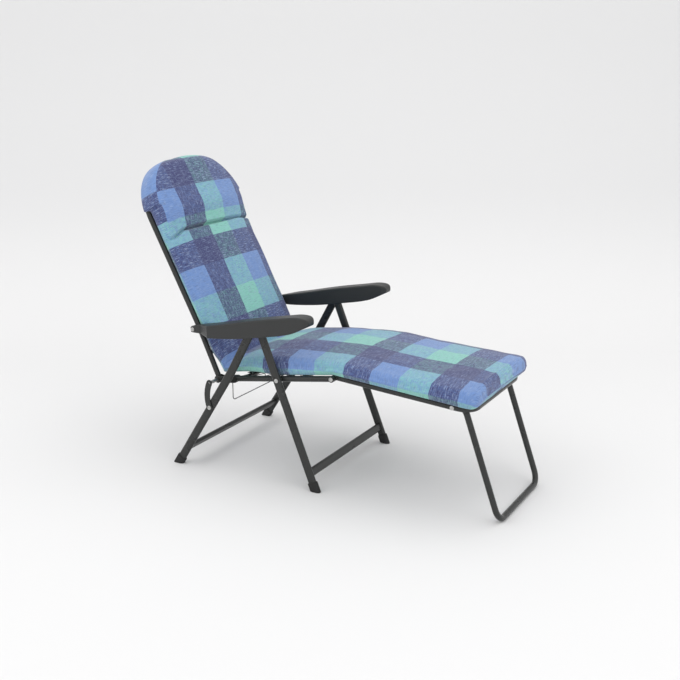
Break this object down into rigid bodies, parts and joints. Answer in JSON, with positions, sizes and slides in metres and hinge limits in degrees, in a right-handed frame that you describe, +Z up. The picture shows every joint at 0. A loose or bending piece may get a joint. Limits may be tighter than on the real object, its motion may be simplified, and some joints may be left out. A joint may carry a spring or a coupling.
{
  "type": "folding deck lounger",
  "caption": "Folding tube-framed deck lounger with a reclining back, armrests, a hinged footrest on its own leg and a thick plaid cushion.",
  "frame": {"origin": "on the floor, under the middle of the opened lounger's bounding box", "axes": "+X towards the footrest's end, +Y to the sitter's left, +Z up"},
  "size_m": [1.4003, 0.592, 1.0595],
  "materials": {
    "frame_paint": "satin anthracite stove enamel on steel tube",
    "feet_rubber": "black moulded rubber, matt",
    "rivet_steel": "zinc-plated steel, dull",
    "link_steel": "satin anthracite enamel on pressed steel",
    "armrest_plastic": "anthracite moulded plastic, fine grain",
    "sling_fabric": "black woven polyester",
    "lace_cord": "black elastic cord",
    "cushion_plaid": "slubbed plaid cloth in navy, blue and mint over a soft filling",
    "wire_steel": "dark coated spring wire"
  },
  "bodies": {
    "front_legs": {"front_leg_right": "frame_paint", "front_leg_left": "frame_paint", "front_foot_right": "feet_rubber", "front_foot_left": "feet_rubber", "apex_pin_right": "rivet_steel", "apex_pin_left": "rivet_steel", "seat_pin_right": "rivet_steel", "seat_pin_left": "rivet_steel", "front_crossbar": "frame_paint"},
    "rear_legs": {"rear_leg_right": "frame_paint", "rear_leg_left": "frame_paint", "rear_foot_right": "feet_rubber", "rear_foot_left": "feet_rubber", "link_rivet_right": "rivet_steel", "link_rivet_left": "rivet_steel", "rear_crossbar": "frame_paint"},
    "links": {"link_right": "link_steel", "link_left": "link_steel"},
    "seat_frame": {"seat_rail_right": "frame_paint", "seat_rail_left": "frame_paint", "hinge_bracket_right": "armrest_plastic", "hinge_bracket_left": "armrest_plastic", "seat_lace_right": "lace_cord", "seat_lace_left": "lace_cord", "seat_rear_bar": "frame_paint", "seat_front_bar": "frame_paint", "seat_sling": "sling_fabric", "seat_pad": "cushion_plaid"},
    "hinge_pins": {"hinge_pin_right": "rivet_steel", "hinge_pin_left": "rivet_steel", "hinge_pad": "cushion_plaid"},
    "back": {"back_hoop": "frame_paint", "back_bar": "frame_paint", "back_sling": "sling_fabric", "back_pad": "cushion_plaid", "head_pillow": "cushion_plaid", "hood": "cushion_plaid", "back_lace_right": "lace_cord", "back_lace_left": "lace_cord"},
    "arm_pins": {"arm_rivet_right": "rivet_steel", "arm_rivet_left": "rivet_steel"},
    "armrests": {"armrest_right": "armrest_plastic", "armrest_left": "armrest_plastic", "rack_right": "armrest_plastic", "rack_left": "armrest_plastic"},
    "knee_pins": {"knee_pin_right": "rivet_steel", "knee_pin_left": "rivet_steel", "knee_pad": "cushion_plaid"},
    "footrest": {"footrest_hoop": "frame_paint", "footrest_bar": "frame_paint", "footrest_sling": "sling_fabric", "footrest_pad": "cushion_plaid", "footrest_lace_right": "lace_cord", "footrest_lace_left": "lace_cord", "leg_pin_right": "rivet_steel", "leg_pin_left": "rivet_steel"},
    "foot_leg": {"foot_leg": "frame_paint"},
    "lock_wire": {"lock_wire": "wire_steel"}
  },
  "joints": [
    {"name": "fold", "type": "hinge", "parent": "front_legs", "child": "seat_frame", "pos_m": [-0.0787, 0, 0.369], "axis": [0, -1, 0], "range_deg": [0, 84]},
    {"name": "rear_leg_fold", "type": "hinge", "parent": "front_legs", "child": "rear_legs", "pos_m": [-0.1516, 0, 0.549], "axis": [0, -1, 0], "range_deg": [0, 46.51]},
    {"name": "link_fold", "type": "hinge", "parent": "rear_legs", "child": "links", "pos_m": [-0.3368, 0, 0.238], "axis": [0, -1, 0], "range_deg": [0, 128.5]},
    {"name": "back_fold", "type": "hinge", "parent": "seat_frame", "child": "hinge_pins", "pos_m": [-0.3336, 0, 0.328], "axis": [0, -1, 0], "range_deg": [-65, 0], "deforming": ["seat_pad", "hinge_pad", "back_pad"]},
    {"name": "back_recline", "type": "hinge", "parent": "hinge_pins", "child": "back", "pos_m": [-0.3336, 0, 0.328], "axis": [0, 1, 0], "range_deg": [-30, 5], "deforming": ["seat_pad", "hinge_pad", "back_pad"]},
    {"name": "armrest_fold", "type": "hinge", "parent": "back", "child": "arm_pins", "pos_m": [-0.4216, 0, 0.499], "axis": [0, -1, 0], "range_deg": [0, 57]},
    {"name": "armrest_tilt", "type": "hinge", "parent": "arm_pins", "child": "armrests", "pos_m": [-0.4216, 0, 0.499], "axis": [0, -1, 0], "range_deg": [-22.06, 3.68]},
    {"name": "footrest_fold", "type": "hinge", "parent": "seat_frame", "child": "knee_pins", "pos_m": [0.1194, 0, 0.4], "axis": [0, -1, 0], "range_deg": [-122, 0], "deforming": ["seat_pad", "knee_pad", "footrest_pad"]},
    {"name": "footrest_drop", "type": "hinge", "parent": "knee_pins", "child": "footrest", "pos_m": [0.1194, 0, 0.4], "axis": [0, -1, 0], "range_deg": [-50, 0], "deforming": ["seat_pad", "knee_pad", "footrest_pad"]},
    {"name": "foot_leg_fold", "type": "hinge", "parent": "footrest", "child": "foot_leg", "pos_m": [0.5354, 0, 0.371], "axis": [0, -1, 0], "range_deg": [-113.6, 0]},
    {"name": "wire_swing", "type": "hinge", "parent": "seat_frame", "child": "lock_wire", "pos_m": [-0.29014, 0, 0.33491], "axis": [0, -1, 0], "range_deg": [-40, 40]}
  ],
  "couplings": [
    {"joint": "rear_leg_fold", "follows": "fold", "ratio": 0.5536},
    {"joint": "link_fold", "follows": "fold", "ratio": 1.5294},
    {"joint": "back_fold", "follows": "fold", "ratio": -0.7738},
    {"joint": "armrest_fold", "follows": "fold", "ratio": 0.6785},
    {"joint": "footrest_fold", "follows": "fold", "ratio": -1.4523},
    {"joint": "armrest_tilt", "follows": "back_recline", "ratio": 0.735}
  ]
}
